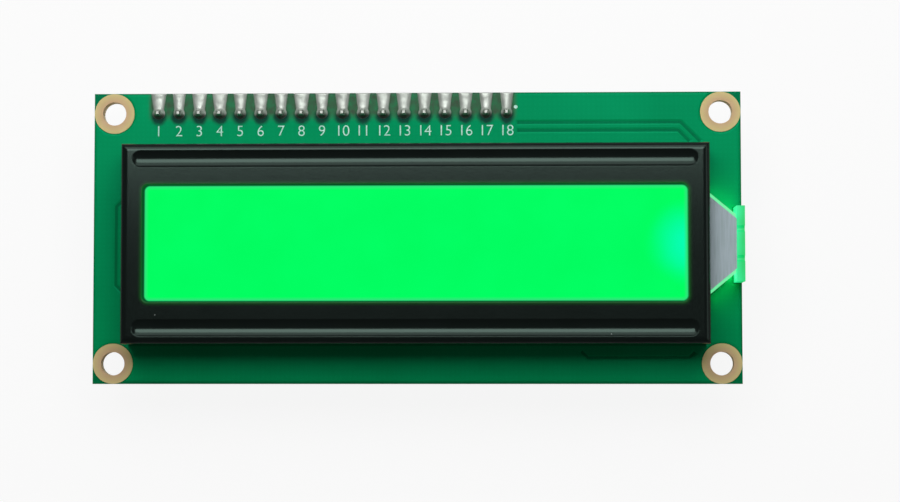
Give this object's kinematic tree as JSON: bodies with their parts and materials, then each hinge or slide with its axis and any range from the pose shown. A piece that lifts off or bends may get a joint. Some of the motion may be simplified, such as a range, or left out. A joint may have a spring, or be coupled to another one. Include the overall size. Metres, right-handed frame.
{
  "type": "character lcd module",
  "caption": "Character display module: green circuit board with corner holes, folded black bezel over a lit glass panel, light inlet at one end and a pin header behind.",
  "frame": {"origin": "centre of the four corner holes, on the front face of the circuit board", "axes": "+X along the board, +Y towards the row of header pins, +Z out of the display"},
  "size_m": [0.08, 0.036, 0.0171],
  "materials": {
    "board_laminate": "glass epoxy laminate under green solder mask",
    "gold_plating": "thin gold over nickel on copper",
    "bezel_paint": "satin black paint on folded steel sheet",
    "polarizer": "clear film in front of the lit panel",
    "display_glass": "polished",
    "white_film": "milky film",
    "lit_acrylic": "clear acrylic, lit from its end",
    "mirror_film": "silvered film",
    "white_plastic": "moulded white",
    "contact_rubber": "layered silicone rubber",
    "grey_tape": "matt grey tape",
    "lamp_laminate": "thin white board glowing with the lamp's light",
    "lamp_resin": "white lamp body with clear resin",
    "solder": "bright tin solder",
    "pin_metal": "plated square wire",
    "tinned_copper": "tinned square wire",
    "header_plastic": "moulded black",
    "black_epoxy": "poured epoxy, satin",
    "resistor_ceramic": "black coated chip with tinned ends",
    "capacitor_ceramic": "tan ceramic chip with tinned ends"
  },
  "bodies": {
    "root": {"circuit_board": "board_laminate", "corner_rings": "gold_plating", "bezel": "bezel_paint", "front_polarizer": "polarizer", "front_glass": "display_glass", "rear_glass": "display_glass", "rear_polarizer": "polarizer", "diffuser_film": "white_film", "light_guide": "lit_acrylic", "reflector_film": "mirror_film", "backlight_tray": "white_plastic", "contact_strip_upper": "contact_rubber", "contact_strip_lower": "contact_rubber", "light_tape": "grey_tape", "lamp_board": "lamp_laminate", "lamp": "lamp_resin", "lamp_solder": "solder", "header_housing": "header_plastic", "header_solder": "solder", "driver_dome_left": "black_epoxy", "driver_dome_right": "black_epoxy", "pin_01": "pin_metal", "pin_02": "pin_metal", "pin_03": "pin_metal", "pin_04": "pin_metal", "pin_05": "pin_metal", "pin_06": "pin_metal", "pin_07": "pin_metal", "pin_08": "pin_metal", "pin_09": "pin_metal", "pin_10": "pin_metal", "pin_11": "pin_metal", "pin_12": "pin_metal", "pin_13": "pin_metal", "pin_14": "pin_metal", "pin_15": "pin_metal", "pin_16": "pin_metal", "pin_17": "pin_metal", "pin_18": "pin_metal", "lamp_pin_1": "tinned_copper", "lamp_pin_2": "tinned_copper", "lamp_pin_3": "tinned_copper", "lamp_pin_4": "tinned_copper", "resistor_1": "resistor_ceramic", "resistor_2": "resistor_ceramic", "resistor_3": "resistor_ceramic", "resistor_4": "resistor_ceramic", "resistor_5": "resistor_ceramic", "resistor_6": "resistor_ceramic", "resistor_7": "resistor_ceramic", "resistor_8": "resistor_ceramic", "capacitor_1": "capacitor_ceramic", "capacitor_2": "capacitor_ceramic"}
  },
  "joints": []
}
